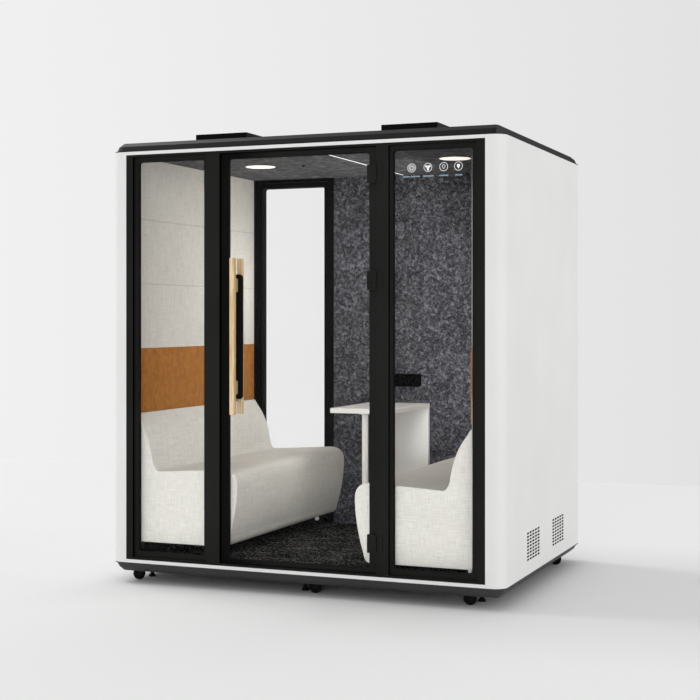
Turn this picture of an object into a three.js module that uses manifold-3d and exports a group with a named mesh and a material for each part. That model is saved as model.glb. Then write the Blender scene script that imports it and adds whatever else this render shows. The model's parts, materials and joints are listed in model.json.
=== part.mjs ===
// Four-seat acoustic office pod: white shell on a black base with casters and levelling feet, glazed front
// with a hinged glass door, two upholstered benches, a wall table and two roof fans.
// Millimetres, +Z up, front towards -Y, origin on the floor under the middle of the pod.
import * as THREE from 'three';
import { mergeVertices } from 'three/addons/utils/BufferGeometryUtils.js';
import Module from 'manifold-3d';

const wasm = await Module();
wasm.setup();

// Shell
const podW = 2164;
const podD = 1604;
const shellBottom = 110;
const shellTop = 2284;
const cornerR = 65;
const wallT = 94;
const gap = 0.3;
// Roof cap and base
const capRise = 50;
const capShoulder = 20;
const capInset = 45;
const lipT = 5;
const baseDrop = 50;
const floorPlateT = 22;
const skirtT = 66;
// Room
const liningT = 12;
const floorTop = 151;
const ceilingDrop = 18;
const ceilingT = 17;
const rearWallT = 64;
const rearLiningT = 15;
const bandLow = 894;
const bandHigh = 1242;
const bandT = 6;
const seamPitch = 347;
const seamW = 3;
const seamDeep = 3;
// Air slots in the right wall
const ventFront = 421;
const ventPitch = 522;
const ventRise = 70;
const ventColumns = 5;
const ventRows = 9;
const slotStepY = 52;
const slotStepZ = 16.6;
const slotL = 40;
const slotH = 10;
const slotDeep = 30;
// Front
const railH = 18;
const frameDepth = 44;
const frameEdge = 12;
const stepDepth = 16;
const paneT = 10;
const paneR = 18;
const jambW = 40;
const sashL = 26;
const leftPaneR = -530;
const leftPostL = -511;
const doorL = -435;
const doorR = 430;
const rightPostR = 495;
const rightPaneL = 514;
const paneLow = 170;
const paneDrop = 54;
const doorGap = 3;
const doorPaneL = -391;
const doorPaneR = 391;
const doorPaneLow = 163;
const doorPaneDrop = 58;
const doorT = 26;
// Door furniture
const lockPlateR = -308;
const lockPlateLow = 988;
const lockPlateHigh = 1628;
const lockPlateT = 5;
const barX = -347;
const barW = 26;
const barLow = 909;
const barHigh = 1711;
const barReach = 24;
const barFootH = 70;
const barFootIn = 104;
const barFlare = 9;
const barRound = 5;
const hingeDrop = 168;
const hingeMid = 1590;
const hingeRise = 180;
const hingeH = 90;
const barrelR = 6.5;
const pinR = 2.6;
const hingeOut = 7;
const leafT = 4;
const leafW = 34;
const leafBlockW = 47;
// Rear window
const windowW = 555;
const windowStileL = 62;
const windowStileR = 70;
const windowPaneLow = 190;
const windowPaneDrop = 68;
const windowPaneIn = 40;
// Benches
const sofaD = 616;
const sofaH = 678;
const seatH = 398;
const seatFall = 22;
const seatBack = 161;
const backLean = 84;
const noseIn = 78;
const noseDrop = 78;
const seatCrown = 6;
const backCrown = 4;
const noseCrown = 3;
const endRound = 6;
const sofaStart = 48;
const sofaRearGap = 17;
const sofaWallGap = 2;
const leftFootH = 67;
const rightFootH = 35;
const rightSofaGap = 62;
const baseIn = 40;
// Table and power strip
const tableW = 376;
const tableD = 638;
const tableTop = 894;
const tableT = 27;
const tableBackT = 24;
const legR = 18;
const legInset = 62;
const legFootR = 30;
const legHeadR = 36;
const socketW = 270;
const socketLow = 992;
const socketH = 77;
const socketT = 12;
const outletR = 21;
const outletStep = 80;
const outletDeep = 6;
// Lights and fans
const lampIn = 500;
const lampY = -6;
const lampR = 85;
const lampRim = 10;
const cowlIn = 552;
const cowlW = 300;
const cowlD = 130;
const cowlH = 50;
const cowlFront = 203;
const cowlT = 3;
const louvreH = 5;
const louvreStep = 10;
const louvreEnd = 20;
const fanR = 52;
const fanHubR = 17;
const shaftR = 4;
const bladeT = 2.4;
// Casters and levelling feet
const wheelR = 32.5;
const wheelW = 22;
const wheelLift = 1;
const trail = 38;
const casterSide = 135;
const casterPull = 39;
const casterIn = 142;
const casterRearIn = 205;
const crownR = 24;
const kingpinR = 6;
const cheekT = 3;
const axleR = 4;
const footR = 20;
const footStemR = 6;
const footGap = 95;
const play = 0.7;

const halfW = podW / 2;
const halfD = podD / 2;
const front = -halfD;
const innerX = halfW - wallT;
const roomX = innerX - liningT;
const rearIn = halfD - rearWallT;
const roomRear = rearIn - rearLiningT;
const roofTop = shellTop + capRise;
const baseLow = shellBottom - baseDrop;
const plateLow = shellBottom - floorPlateT;
const frameLow = shellBottom + railH;
const frameHigh = shellTop - railH;
const frameBack = front + frameDepth;
const stepY = front + stepDepth;
const ceilingZ = shellTop - ceilingDrop;
const paneHigh = shellTop - paneDrop;
const doorPaneHigh = shellTop - doorPaneDrop;
const windowPaneHigh = shellTop - windowPaneDrop;
const hingeZs = [shellTop - hingeDrop, hingeMid, shellBottom + hingeRise];
const lampX = halfW - lampIn;
const cowlX = halfW - cowlIn;
const casterX = halfW - casterSide;
const windowR = -innerX + windowW;

function finish(name, color, roughness) {
  return new THREE.MeshStandardMaterial({ name, color, roughness });
}
const black = finish('powder_coated_black', 0x1c1c1c, 0.55);
const white = finish('powder_coated_white', 0xe6e6e4, 0.5);
const glass = finish('clear_glass', 0xdfe8e6, 0.05);
const carpet = finish('charcoal_carpet', 0x252525, 1);
const felt = finish('charcoal_felt', 0x454549, 1);
const greige = finish('greige_fabric', 0xb6b3a9, 0.95);
const tan = finish('tan_fabric', 0x9c5f28, 0.95);
const linen = finish('offwhite_linen', 0xd4d1c8, 0.95);
const oak = finish('light_oak', 0xdab37a, 0.5);
const laminate = finish('white_laminate', 0xe2e1dc, 0.4);
const diffuser = finish('opal_diffuser', 0xffffff, 0.4);
const plastic = finish('black_plastic', 0x141414, 0.6);
const rubber = finish('black_rubber', 0x0e0e0e, 0.8);

const pod = new THREE.Group();
pod.name = 'acoustic_pod';
// The outer handle stands out in front, so the body sits back by half of that, with the origin in the middle.
const handleFront = stepY - 1 - gap - barReach - barW;
const body = new THREE.Group();
body.position.y = -(halfD + handleFront) / 2;
pod.add(body);

function solid(geometry) {
  const plain = new THREE.BufferGeometry();
  const source = geometry.index ? geometry.toNonIndexed() : geometry;
  plain.setAttribute('position', source.getAttribute('position'));
  const merged = mergeVertices(plain, 1e-3);
  const shape = new wasm.Mesh({
    numProp: 3,
    vertProperties: new Float32Array(merged.attributes.position.array),
    triVerts: new Uint32Array(merged.index.array),
  });
  return new wasm.Manifold(shape);
}

function geometryOf(made) {
  const m = made.getMesh();
  const n = m.numProp;
  const v = new Float32Array(m.numVert * 3);
  for (let i = 0; i < m.numVert; i++) {
    v.set(m.vertProperties.subarray(i * n, i * n + 3), i * 3);
  }
  const g = new THREE.BufferGeometry();
  g.setAttribute('position', new THREE.BufferAttribute(v, 3));
  g.setIndex(new THREE.BufferAttribute(new Uint32Array(m.triVerts), 1));
  return g;
}

function join(...geometries) {
  return geometryOf(wasm.Manifold.union(geometries.map(solid)));
}

function cut(geometry, ...tools) {
  return geometryOf(solid(geometry).subtract(wasm.Manifold.union(tools.map(solid))));
}

function box(x0, x1, y0, y1, z0, z1) {
  const g = new THREE.BoxGeometry(x1 - x0, y1 - y0, z1 - z0);
  return g.translate((x0 + x1) / 2, (y0 + y1) / 2, (z0 + z1) / 2);
}

// Upright cylinder between two heights.
function post(x, y, z0, z1, r, sides = 24) {
  const g = new THREE.CylinderGeometry(r, r, z1 - z0, sides);
  return g.rotateX(Math.PI / 2).translate(x, y, (z0 + z1) / 2);
}

// Turned body: a line of [radius, height] taken round the Y axis.
function turned(line, count) {
  return new THREE.LatheGeometry(line.map(([r, t]) => new THREE.Vector2(r, t)), count);
}

// Rectangle with rounded corners, standing in the XZ plane and running from y0 to y1.
function pane(x0, x1, z0, z1, y0, y1, r, steps = 5) {
  const s = new THREE.Shape();
  s.moveTo(x0 + r, z0);
  s.lineTo(x1 - r, z0);
  s.absarc(x1 - r, z0 + r, r, -Math.PI / 2, 0);
  s.lineTo(x1, z1 - r);
  s.absarc(x1 - r, z1 - r, r, 0, Math.PI / 2);
  s.lineTo(x0 + r, z1);
  s.absarc(x0 + r, z1 - r, r, Math.PI / 2, Math.PI);
  s.lineTo(x0, z0 + r);
  s.absarc(x0 + r, z0 + r, r, Math.PI, 1.5 * Math.PI);
  const g = new THREE.ExtrudeGeometry(s, { depth: y1 - y0, bevelEnabled: false, curveSegments: steps });
  return g.rotateX(Math.PI / 2).translate(0, y1, 0);
}

// Points of a rectangle with rounded corners in plan, anticlockwise.
function outline(inset, r, steps = 6) {
  const points = [];
  const w = halfW - inset;
  const d = halfD - inset;
  const corners = [[1, -1, -90], [1, 1, 0], [-1, 1, 90], [-1, -1, 180]];
  for (const [sx, sy, a0] of corners) {
    for (let i = 0; i <= steps; i++) {
      const a = THREE.MathUtils.degToRad(a0 + (90 * i) / steps);
      points.push([sx * (w - r) + r * Math.cos(a), sy * (d - r) + r * Math.sin(a)]);
    }
  }
  return points;
}

// Closed body through rings of equal count, from the first ring's cap to the last one's.
function loft(rings, capFaces) {
  const n = rings[0].length;
  const v = [];
  const tri = (a, b, c) => v.push(...a, ...b, ...c);
  for (let k = 0; k + 1 < rings.length; k++) {
    for (let i = 0; i < n; i++) {
      const j = (i + 1) % n;
      tri(rings[k][i], rings[k][j], rings[k + 1][j]);
      tri(rings[k][i], rings[k + 1][j], rings[k + 1][i]);
    }
  }
  const last = rings[rings.length - 1];
  for (const [a, b, c] of capFaces) {
    tri(rings[0][a], rings[0][c], rings[0][b]);
    tri(last[a], last[b], last[c]);
  }
  const g = new THREE.BufferGeometry();
  g.setAttribute('position', new THREE.BufferAttribute(new Float32Array(v), 3));
  return g;
}

function fanFaces(n) {
  const faces = [];
  for (let i = 1; i + 1 < n; i++) {
    faces.push([0, i, i + 1]);
  }
  return faces;
}

// Stack of plan outlines, each [height, inset, corner radius].
function stacked(levels) {
  const rings = levels.map(([z, inset, r]) => outline(inset, r).map(([x, y]) => [x, y, z]));
  return loft(rings, fanFaces(rings[0].length));
}

function mirrorX(geometry) {
  const g = geometry.index ? geometry.toNonIndexed() : geometry.clone();
  const p = g.getAttribute('position');
  for (let i = 0; i < p.count; i += 3) {
    const b = [-p.getX(i + 1), p.getY(i + 1), p.getZ(i + 1)];
    const c = [-p.getX(i + 2), p.getY(i + 2), p.getZ(i + 2)];
    p.setX(i, -p.getX(i));
    p.setXYZ(i + 1, ...c);
    p.setXYZ(i + 2, ...b);
  }
  return g;
}

function add(name, geometry, material) {
  const g = geometry.clone();
  g.computeVertexNormals();
  const mesh = new THREE.Mesh(g, material);
  mesh.name = name;
  body.add(mesh);
}

// Base: floor plate inside a skirt that draws in towards the bottom, hollow below for the running gear.
const baseSolid = stacked([
  [baseLow, capInset, cornerR - capInset],
  [shellBottom - baseDrop * 0.58, capShoulder, cornerR - capShoulder],
  [shellBottom - lipT, 8, cornerR - 8],
  [shellBottom - lipT, 0.5, cornerR],
  [shellBottom, 0.5, cornerR],
]);
const under = box(-halfW + skirtT, halfW - skirtT, -halfD + skirtT, halfD - skirtT, baseLow - 10, plateLow);

const casterFront = front + casterIn;
const casterRear = halfD - casterRearIn;
const casters = [
  ['front_left', -casterX, casterFront, -150, -19, footGap - 1],
  ['front_middle', 84, casterFront, -156, -112, 33],
  ['front_right', casterX - casterPull, casterFront, -150, -7, footGap],
  ['rear_left', -casterX, casterRear, 150, 0, footGap],
  ['rear_middle', 0, casterRear, 190, 0, footGap],
  ['rear_right', casterX, casterRear, 12, 0, footGap],
];
const sockets = casters.flatMap(([, x, y, , fx, fy]) => [
  post(x, y, plateLow - 5, shellBottom - 6, kingpinR + play, 12),
  post(x + fx, y + fy, plateLow - 5, shellBottom - 2, footStemR + play, 12),
]);
add('base_chassis', cut(baseSolid, under, ...sockets), black);

const forkTop = plateLow - gap;
const axleZ = wheelR + wheelLift;
for (const [name, x, y, degrees, fx, fy] of casters) {
  const turn = THREE.MathUtils.degToRad(degrees);
  const set = (g) => g.rotateZ(turn).translate(x, y, 0);
  const cheek = new THREE.Shape();
  cheek.moveTo(-17, forkTop - 3);
  cheek.lineTo(-17, forkTop - 14);
  cheek.lineTo(trail - 11, axleZ + 2);
  cheek.lineTo(trail - 8, axleZ - 9);
  cheek.lineTo(trail + 8, axleZ - 9);
  cheek.lineTo(trail + 11, axleZ + 4);
  cheek.lineTo(17, forkTop - 3);
  const side = (y0) => {
    const g = new THREE.ExtrudeGeometry(cheek, { depth: cheekT, bevelEnabled: false });
    return g.rotateX(Math.PI / 2).translate(0, y0 + cheekT, 0);
  };
  const axleHole = new THREE.CylinderGeometry(axleR + play, axleR + play, 60, 12).translate(trail, 0, axleZ);
  const crown = post(0, 0, forkTop - 15, forkTop, crownR, 16);
  const kingpin = post(0, 0, forkTop - 2, forkTop + 11, kingpinR, 12);
  const cheekIn = wheelW / 2 + 0.6;
  const fork = cut(join(crown, kingpin, side(cheekIn), side(-cheekIn - cheekT)), axleHole);
  add(`caster_${name}_fork`, set(fork), plastic);

  const h = wheelW / 2;
  const axleEnd = h + cheekT + 2;
  const half = [[wheelR, h - 4], [wheelR - 5, h], [axleR, h], [axleR, axleEnd], [0, axleEnd]];
  const other = half.map(([r, t]) => [r, -t]).reverse();
  const wheel = turned([...other, ...half], 20).translate(trail, 0, axleZ);
  add(`caster_${name}_wheel`, set(wheel), rubber);

  const stemTop = plateLow + 4;
  const neck = footR / 2;
  const pad = [[0, 0], [footR, 0], [footR, 6], [footR * 0.75, 11], [neck, 18], [neck, 26], [footStemR, 26],
    [footStemR, stemTop], [0, stemTop]];
  const foot = turned(pad, 16).rotateX(Math.PI / 2);
  add(`levelling_foot_${name}`, foot.translate(x + fx, y + fy, 0), plastic);
}

// Side walls with rounded outer corners; the right one has two patches of air slots near the floor.
const wallShape = new THREE.Shape();
wallShape.moveTo(innerX + gap, front);
wallShape.lineTo(halfW - cornerR, front);
wallShape.absarc(halfW - cornerR, front + cornerR, cornerR, -Math.PI / 2, 0);
wallShape.lineTo(halfW, halfD - cornerR);
wallShape.absarc(halfW - cornerR, halfD - cornerR, cornerR, 0, Math.PI / 2);
wallShape.lineTo(innerX + gap, halfD);
const wallH = shellTop - shellBottom - 2 * gap;
const wall = new THREE.ExtrudeGeometry(wallShape, { depth: wallH, bevelEnabled: false, curveSegments: 8 });
wall.translate(0, 0, shellBottom + gap);
const slots = [];
for (const y0 of [front + ventFront, front + ventFront + ventPitch]) {
  for (let c = 0; c < ventColumns; c++) {
    for (let r = 0; r < ventRows; r++) {
      const y = y0 + c * slotStepY;
      const z = shellBottom + ventRise + r * slotStepZ;
      slots.push(box(halfW - slotDeep, halfW + 5, y, y + slotL, z, z + slotH));
    }
  }
}
add('left_wall', mirrorX(wall), white);
add('right_wall', cut(wall, ...slots), white);
add('rear_wall', box(windowR + gap, innerX, rearIn, halfD, shellBottom + gap, shellTop - gap), white);
add('front_top_rail', box(-innerX, innerX, front, frameBack, frameHigh + gap, shellTop - gap), white);
add('front_bottom_rail', box(-innerX, innerX, front, frameBack, shellBottom + gap, frameLow - gap), white);

// Front frame: two glazed bays either side of the doorway.
const edgeLow = frameLow + frameEdge;
const edgeHigh = frameHigh - frameEdge;
const leftPaneL = -innerX + jambW + sashL;
const rightPaneR = innerX - jambW - sashL;
const frontFrame = cut(
  box(-innerX + gap, innerX - gap, front, frameBack, frameLow, frameHigh),
  box(-innerX + jambW, leftPostL, front - 5, stepY, edgeLow, edgeHigh),
  box(rightPostR, innerX - jambW, front - 5, stepY, edgeLow, edgeHigh),
  box(doorL, doorR, front - 5, frameBack + 5, edgeLow, edgeHigh),
  pane(leftPaneL, leftPaneR, paneLow, paneHigh, front, frameBack + 5, paneR),
  pane(rightPaneL, rightPaneR, paneLow, paneHigh, front, frameBack + 5, paneR),
);
add('front_frame', frontFrame, black);
const paneY = stepY + 6;
// Pane that fills an opening but for the clearance all round.
function glazed(x0, x1, z0, z1, y) {
  return pane(x0 + gap, x1 - gap, z0 + gap, z1 - gap, y, y + paneT, paneR);
}
add('left_glass', glazed(leftPaneL, leftPaneR, paneLow, paneHigh, paneY), glass);
add('right_glass', glazed(rightPaneL, rightPaneR, paneLow, paneHigh, paneY), glass);

// Door: slim frame with a lock plate that grows from its free stile, one pane, a bar handle on each side.
const doorBack = stepY + doorT;
const doorRing = cut(
  box(doorL + doorGap, doorR - doorGap, stepY, doorBack, edgeLow + doorGap, edgeHigh - doorGap),
  pane(doorPaneL, doorPaneR, doorPaneLow, doorPaneHigh, stepY - 5, doorBack + 5, paneR),
);
const plateY = stepY - 1;
const plate = pane(doorPaneL - 20, lockPlateR, lockPlateLow, lockPlateHigh, plateY, plateY + lockPlateT, 20);
add('door_frame', join(doorRing, plate), black);
const doorPaneY = stepY + lockPlateT;
add('door_glass', glazed(doorPaneL, doorPaneR, doorPaneLow, doorPaneHigh, doorPaneY), glass);

// Bar pull: an upright bar on two feet that flare towards it.
function handle(y0, y1, footY) {
  const x0 = barX - barW / 2;
  const bar = pane(x0, x0 + barW, barLow, barHigh, y0, y1, barRound, 3);
  const way = footY < y0 ? -1 : 1;
  const root = way < 0 ? y0 + 1 : y1 - 1;
  const neck = root + way * (barFlare + 1);
  const foot = (z) => {
    const s = new THREE.Shape();
    s.moveTo(root, z - barFlare);
    s.quadraticCurveTo(root + way * 3, z, neck, z);
    s.lineTo(footY, z);
    s.lineTo(footY, z + barFootH);
    s.lineTo(neck, z + barFootH);
    s.quadraticCurveTo(root + way * 3, z + barFootH, root, z + barFootH + barFlare);
    const g = new THREE.ExtrudeGeometry(s, { depth: barW - 4, bevelEnabled: false, curveSegments: 4 });
    const toSide = new THREE.Matrix4().set(0, 0, 1, x0 + 2, 1, 0, 0, 0, 0, 1, 0, 0, 0, 0, 0, 1);
    return g.applyMatrix4(toSide);
  };
  return join(bar, foot(barLow + barFootIn), foot(barHigh - barFootIn - barFootH));
}
const outY = handleFront + barReach + barW;
const inY = doorPaneY + paneT + gap;
add('outer_handle', handle(outY - barReach - barW, outY - barReach, outY), oak);
add('inner_handle', handle(inY + barReach, inY + barReach + barW, inY), oak);

// Hinges: a post leaf with the lower barrel and the pin, a door leaf with the upper barrel.
const hingeX = doorR - 1.5;
const hingeY = front - hingeOut;
const hingeNames = ['upper', 'middle', 'lower'];
hingeZs.forEach((z, i) => {
  const low = z - hingeH / 2;
  const high = z + hingeH / 2;
  const lowBarrel = post(hingeX, hingeY, low, z - gap, barrelR, 16);
  const pin = post(hingeX, hingeY, z - 5, high - 4, pinR, 16);
  const leaf = box(hingeX, hingeX + leafW, front - leafT, front - gap, low, z - gap);
  const tall = box(hingeX + barrelR + 1.5, hingeX + leafW, front - leafT, front - gap, low, high);
  add(`hinge_${hingeNames[i]}_post_leaf`, join(lowBarrel, pin, leaf, tall), black);
  const highBarrel = post(hingeX, hingeY, z + gap, high, barrelR, 16);
  const block = box(doorR - leafBlockW, hingeX - barrelR - 2, front - leafT, stepY - gap, low, high);
  const arm = box(hingeX - barrelR - 4, hingeX - 1, hingeY - 5, hingeY + 5, z + gap, high);
  const bore = post(hingeX, hingeY, z - 5, high - 2, pinR + play, 16);
  add(`hinge_${hingeNames[i]}_door_leaf`, cut(join(highBarrel, block, arm), bore), black);
});

// Rear window at the left of the back wall.
const windowPaneL = -innerX + windowStileL;
const windowPaneR = windowR - windowStileR;
const rearFrame = cut(
  box(-innerX + gap, windowR, roomRear, halfD, shellBottom + gap, shellTop - gap),
  box(-innerX + jambW, windowR - jambW, roomRear - 5, roomRear + stepDepth, edgeLow + 40, ceilingZ - 20),
  pane(windowPaneL, windowPaneR, windowPaneLow, windowPaneHigh, roomRear - 5, halfD + 5, paneR),
);
add('rear_window_frame', rearFrame, black);
const rearPaneY = roomRear + windowPaneIn;
add('rear_window_glass', glazed(windowPaneL, windowPaneR, windowPaneLow, windowPaneHigh, rearPaneY), glass);

// Room surfaces
const roomFront = frameBack + gap;
// Board across the room between two heights.
function floorWide(z0, z1) {
  return box(-innerX + gap, innerX - gap, roomFront, roomRear - gap, z0, z1);
}
add('floor_carpet', floorWide(shellBottom + gap, floorTop), carpet);
const liningBox = box(roomX, innerX, roomFront, roomRear - gap, floorTop + gap, ceilingZ - gap);
const recess = box(roomX - 5, roomX + bandT, roomFront - 5, roomRear + 5, bandLow, bandHigh);
const seams = [bandLow - seamPitch, bandHigh + seamPitch, bandHigh + 2 * seamPitch].map((z) => {
  return box(roomX - 5, roomX + seamDeep, roomFront - 5, roomRear + 5, z - seamW / 2, z + seamW / 2);
});
const lining = cut(liningBox, recess, ...seams);
const band = box(roomX, roomX + bandT - gap, roomFront, roomRear - gap, bandLow + gap, bandHigh - gap);
add('right_lining', lining, greige);
add('left_lining', mirrorX(lining), greige);
add('right_accent_band', band, tan);
add('left_accent_band', mirrorX(band), tan);
const rearFelt = box(windowR + gap, innerX - gap, roomRear, rearIn - gap, floorTop + gap, ceilingZ - gap);
add('rear_lining', rearFelt, felt);

const lampBodyR = lampR - lampRim;
const lampWells = [-lampX, lampX].map((x) => post(x, lampY, ceilingZ - 5, shellTop + 5, lampBodyR + gap, 28));
const fanY = front + cowlFront + cowlD / 2;
const airHoles = [-cowlX, cowlX].map((x) => post(x, fanY, ceilingZ - 5, shellTop + 5, fanR, 20));
add('ceiling_panel', cut(floorWide(ceilingZ, ceilingZ + ceilingT), ...lampWells, ...airHoles), felt);
for (const [name, x] of [['left', -lampX], ['right', lampX]]) {
  const face = ceilingZ - 1.5;
  const lampTop = ceilingZ + ceilingT;
  const lens = [[0, face], [lampBodyR, face], [lampBodyR + 2, face - 0.8], [lampR - 1, face]];
  const body = [[lampR, ceilingZ - gap], [lampBodyR, ceilingZ - gap], [lampBodyR, lampTop], [0, lampTop]];
  const g = turned([...lens, ...body], 28).rotateX(Math.PI / 2);
  add(`downlight_${name}`, g.translate(x, lampY, 0), diffuser);
}

// Roof cap with a thin lip at the shell line, a steep band and a bevel; a fan well under each cowl.
const capSolid = stacked([
  [shellTop + gap, 0.5, cornerR],
  [shellTop + lipT, 0.5, cornerR],
  [shellTop + lipT, 8, cornerR - 8],
  [shellTop + capRise * 0.6, capShoulder, cornerR - capShoulder],
  [roofTop, capInset, cornerR - capInset],
]);
const spiderTop = shellTop + 12;
const wells = [-cowlX, cowlX].map((x) => post(x, fanY, shellTop - 5, roofTop + 5, fanR + 4, 24));
const spiders = [-cowlX, cowlX].flatMap((x) => [
  box(x - fanR - 8, x + fanR + 8, fanY - 4, fanY + 4, shellTop + gap, spiderTop),
  post(x, fanY, shellTop + gap, spiderTop + 4, 16, 20),
  post(x, fanY, spiderTop, roofTop - 8, shaftR, 12),
]);
add('roof_cap', join(cut(capSolid, ...wells), ...spiders), black);

for (const [name, x] of [['left', -cowlX], ['right', cowlX]]) {
  const x0 = x - cowlW / 2;
  const y0 = front + cowlFront;
  const z0 = roofTop + gap;
  const hood = box(x0, x0 + cowlW, y0, y0 + cowlD, z0, z0 + cowlH - gap);
  const y1 = y0 + cowlD;
  const room = box(x0 + cowlT, x0 + cowlW - cowlT, y0 + cowlT, y1 - cowlT, z0 - 5, z0 + cowlH - gap - cowlT);
  const louvres = [1, 2, 3].map((i) => {
    const z = z0 + i * louvreStep;
    return box(x0 + louvreEnd, x0 + cowlW - louvreEnd, y1 - cowlT - 5, y1 + 5, z, z + louvreH);
  });
  add(`fan_cowl_${name}`, cut(hood, room, ...louvres), black);

  const bladeLow = spiderTop + 6;
  const bladeHigh = roofTop - 4;
  const hub = post(x, fanY, bladeLow, bladeHigh, fanHubR, 24);
  const blades = [];
  for (let i = 0; i < 7; i++) {
    const b = new THREE.BoxGeometry(fanR - 14, bladeT, 20).rotateX(THREE.MathUtils.degToRad(52));
    b.translate(fanR / 2 + 6, 0, 0).rotateZ((i * 2 * Math.PI) / 7);
    blades.push(b.translate(x, fanY, (bladeLow + bladeHigh) / 2));
  }
  const shaftBore = post(x, fanY, bladeLow - 5, bladeHigh - 3, shaftR + play, 12);
  add(`fan_rotor_${name}`, cut(join(hub, ...blades), shaftBore), plastic);
}

// Bench side profile in runs of a curve, each [curve points, steps, push]: distance from the nose, height
// over the underside, and the way in which the middle of the run crowns along the bench.
const crease = sofaD - seatBack;
const creaseH = seatH - seatFall;
const backFoot = crease + 41;
const backRise = creaseH + 44;
const backTop = backFoot + backLean;
const noseH = seatH - noseDrop;
const toe = [noseIn - 33, 48];
const level = [0, 0];
const sides = [
  [[[noseIn, 0], [noseIn - 26, 2], toe], 3, level],
  [[toe, [22, 120], [0, 220], [0, noseH]], 6, [-noseCrown, 0]],
  [[[0, noseH], [0, seatH - 26], [30, seatH + 2], [95, seatH]], 5, level],
  [[[95, seatH], [crease, creaseH]], 4, [0, seatCrown]],
  [[[crease, creaseH], [crease + 29, creaseH - 2], [backFoot, backRise]], 4, level],
  [[[backFoot, backRise], [backFoot + 12, backRise + 80], [backFoot + 32, sofaH - 103],
    [backTop, sofaH - 38]], 6, [-backCrown, 0]],
  [[[backTop, sofaH - 38], [backTop + 15, sofaH - 18], [sofaD - 16, sofaH], [sofaD - 8, sofaH]], 3, level],
  [[[sofaD - 8, sofaH], [sofaD, sofaH], [sofaD, sofaH - 10]], 2, level],
  [[[sofaD, sofaH - 10], [sofaD, 14]], 3, level],
  [[[sofaD, 14], [sofaD, 0], [sofaD - 14, 0]], 2, level],
  [[[sofaD - 14, 0], [noseIn, 0]], 4, level],
];
const spot = ([s, h]) => new THREE.Vector2(s, h);
const curveOf = { 2: THREE.LineCurve, 3: THREE.QuadraticBezierCurve, 4: THREE.CubicBezierCurve };
const profile = sides.flatMap(([through, steps, push]) => {
  const curve = new curveOf[through.length](...through.map(spot));
  return curve.getPoints(steps).slice(0, -1).map((p, i) => {
    const rise = Math.sin((Math.PI * i) / steps);
    return [p.x, p.y, push[0] * rise, push[1] * rise];
  });
});

// The profile drawn in by an even inset.
function shrunk(points, inset) {
  const n = points.length;
  return points.map((p, i) => {
    const a = points[(i + n - 1) % n];
    const b = points[(i + 1) % n];
    const tx = b[0] - a[0];
    const ty = b[1] - a[1];
    const length = Math.hypot(tx, ty);
    return [p[0] + (ty / length) * inset, p[1] - (tx / length) * inset];
  });
}

const sofaY = front + sofaStart;
const sofaL = roomRear - sofaRearGap - sofaY;
// Upholstered bench along the wall: rounded ends and a seat and back that crown slightly along the length.
function bench() {
  const stations = [];
  const arcSteps = 3;
  for (let i = 0; i <= arcSteps; i++) {
    const a = (Math.PI / 2) * (i / arcSteps);
    stations.push([endRound * (1 - Math.cos(a)), endRound * (1 - Math.sin(a))]);
  }
  const back = stations.map(([y, inset]) => [sofaL - y, inset]).reverse();
  const bays = 8;
  for (let i = 1; i < bays; i++) {
    stations.push([endRound + ((sofaL - 2 * endRound) * i) / bays, 0]);
  }
  const rings = [...stations, ...back].map(([y, inset]) => {
    const crown = Math.sin((Math.PI * y) / sofaL);
    return shrunk(profile, inset).map(([s, h], i) => {
      const [, , ds, dh] = profile[i];
      return [s + crown * ds, y, h + crown * dh];
    });
  });
  const last = profile.length - 1;
  const flat = THREE.ShapeUtils.triangulateShape(profile.map(spot).reverse(), []);
  return loft(rings, flat.map(([a, b, c]) => [last - a, last - c, last - b]));
}

const leftNose = -roomX + sofaWallGap + sofaD;
const rightNose = roomX - rightSofaGap - sofaD;
const rightBench = bench();
add('sofa_right', rightBench.clone().translate(rightNose, sofaY, floorTop + rightFootH), linen);
add('sofa_left', mirrorX(rightBench).translate(leftNose, sofaY, floorTop + leftFootH), linen);

// Bench bases: a board with four feet.
function benchBase(sign, nose, height, boardT, footMaker) {
  const x = (s) => nose + sign * s;
  const span = (a, b) => [Math.min(x(a), x(b)), Math.max(x(a), x(b))];
  const [x0, x1] = span(100, sofaD - 30);
  const top = floorTop + height - gap;
  const board = box(x0, x1, sofaY + baseIn, sofaY + sofaL - baseIn, top - boardT, top);
  const feet = [];
  for (const s of [150, sofaD - 75]) {
    for (const y of [sofaY + 100, sofaY + sofaL - 100]) {
      feet.push(footMaker(x(s), y, floorTop + gap, top - boardT + 1));
    }
  }
  return join(board, ...feet);
}
const blockFoot = (x, y, z0, z1) => box(x - 45, x + 45, y - 30, y + 30, z0, z1);
const roundFoot = (x, y, z0, z1) => post(x, y, z0, z1, 16, 16);
add('sofa_left_base', benchBase(-1, leftNose, leftFootH, 12, blockFoot), plastic);
add('sofa_right_base', benchBase(1, rightNose, rightFootH, 8, roundFoot), plastic);

// Table fixed to the back wall: top and back panel in one, a round leg near the front edge.
const tableRear = roomRear - gap;
const tableFront = tableRear - tableD;
const tableHalf = tableW / 2;
const top = box(-tableHalf, tableHalf, tableFront, tableRear, tableTop - tableT, tableTop);
const backPanel = box(-tableHalf, tableHalf, tableRear - tableBackT, tableRear, floorTop + gap, tableTop - 1);
add('table_top', join(top, backPanel), laminate);
const legY = tableFront + legInset;
const legTop = tableTop - tableT - gap;
const legLow = floorTop + gap;
const legLine = [[0, legLow], [legFootR, legLow], [legFootR, legLow + 5], [legR, legLow + 7],
  [legR, legTop - 8], [legHeadR, legTop - 5], [legHeadR, legTop], [0, legTop]];
add('table_leg', turned(legLine, 24).rotateX(Math.PI / 2).translate(0, legY, 0), white);

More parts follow.
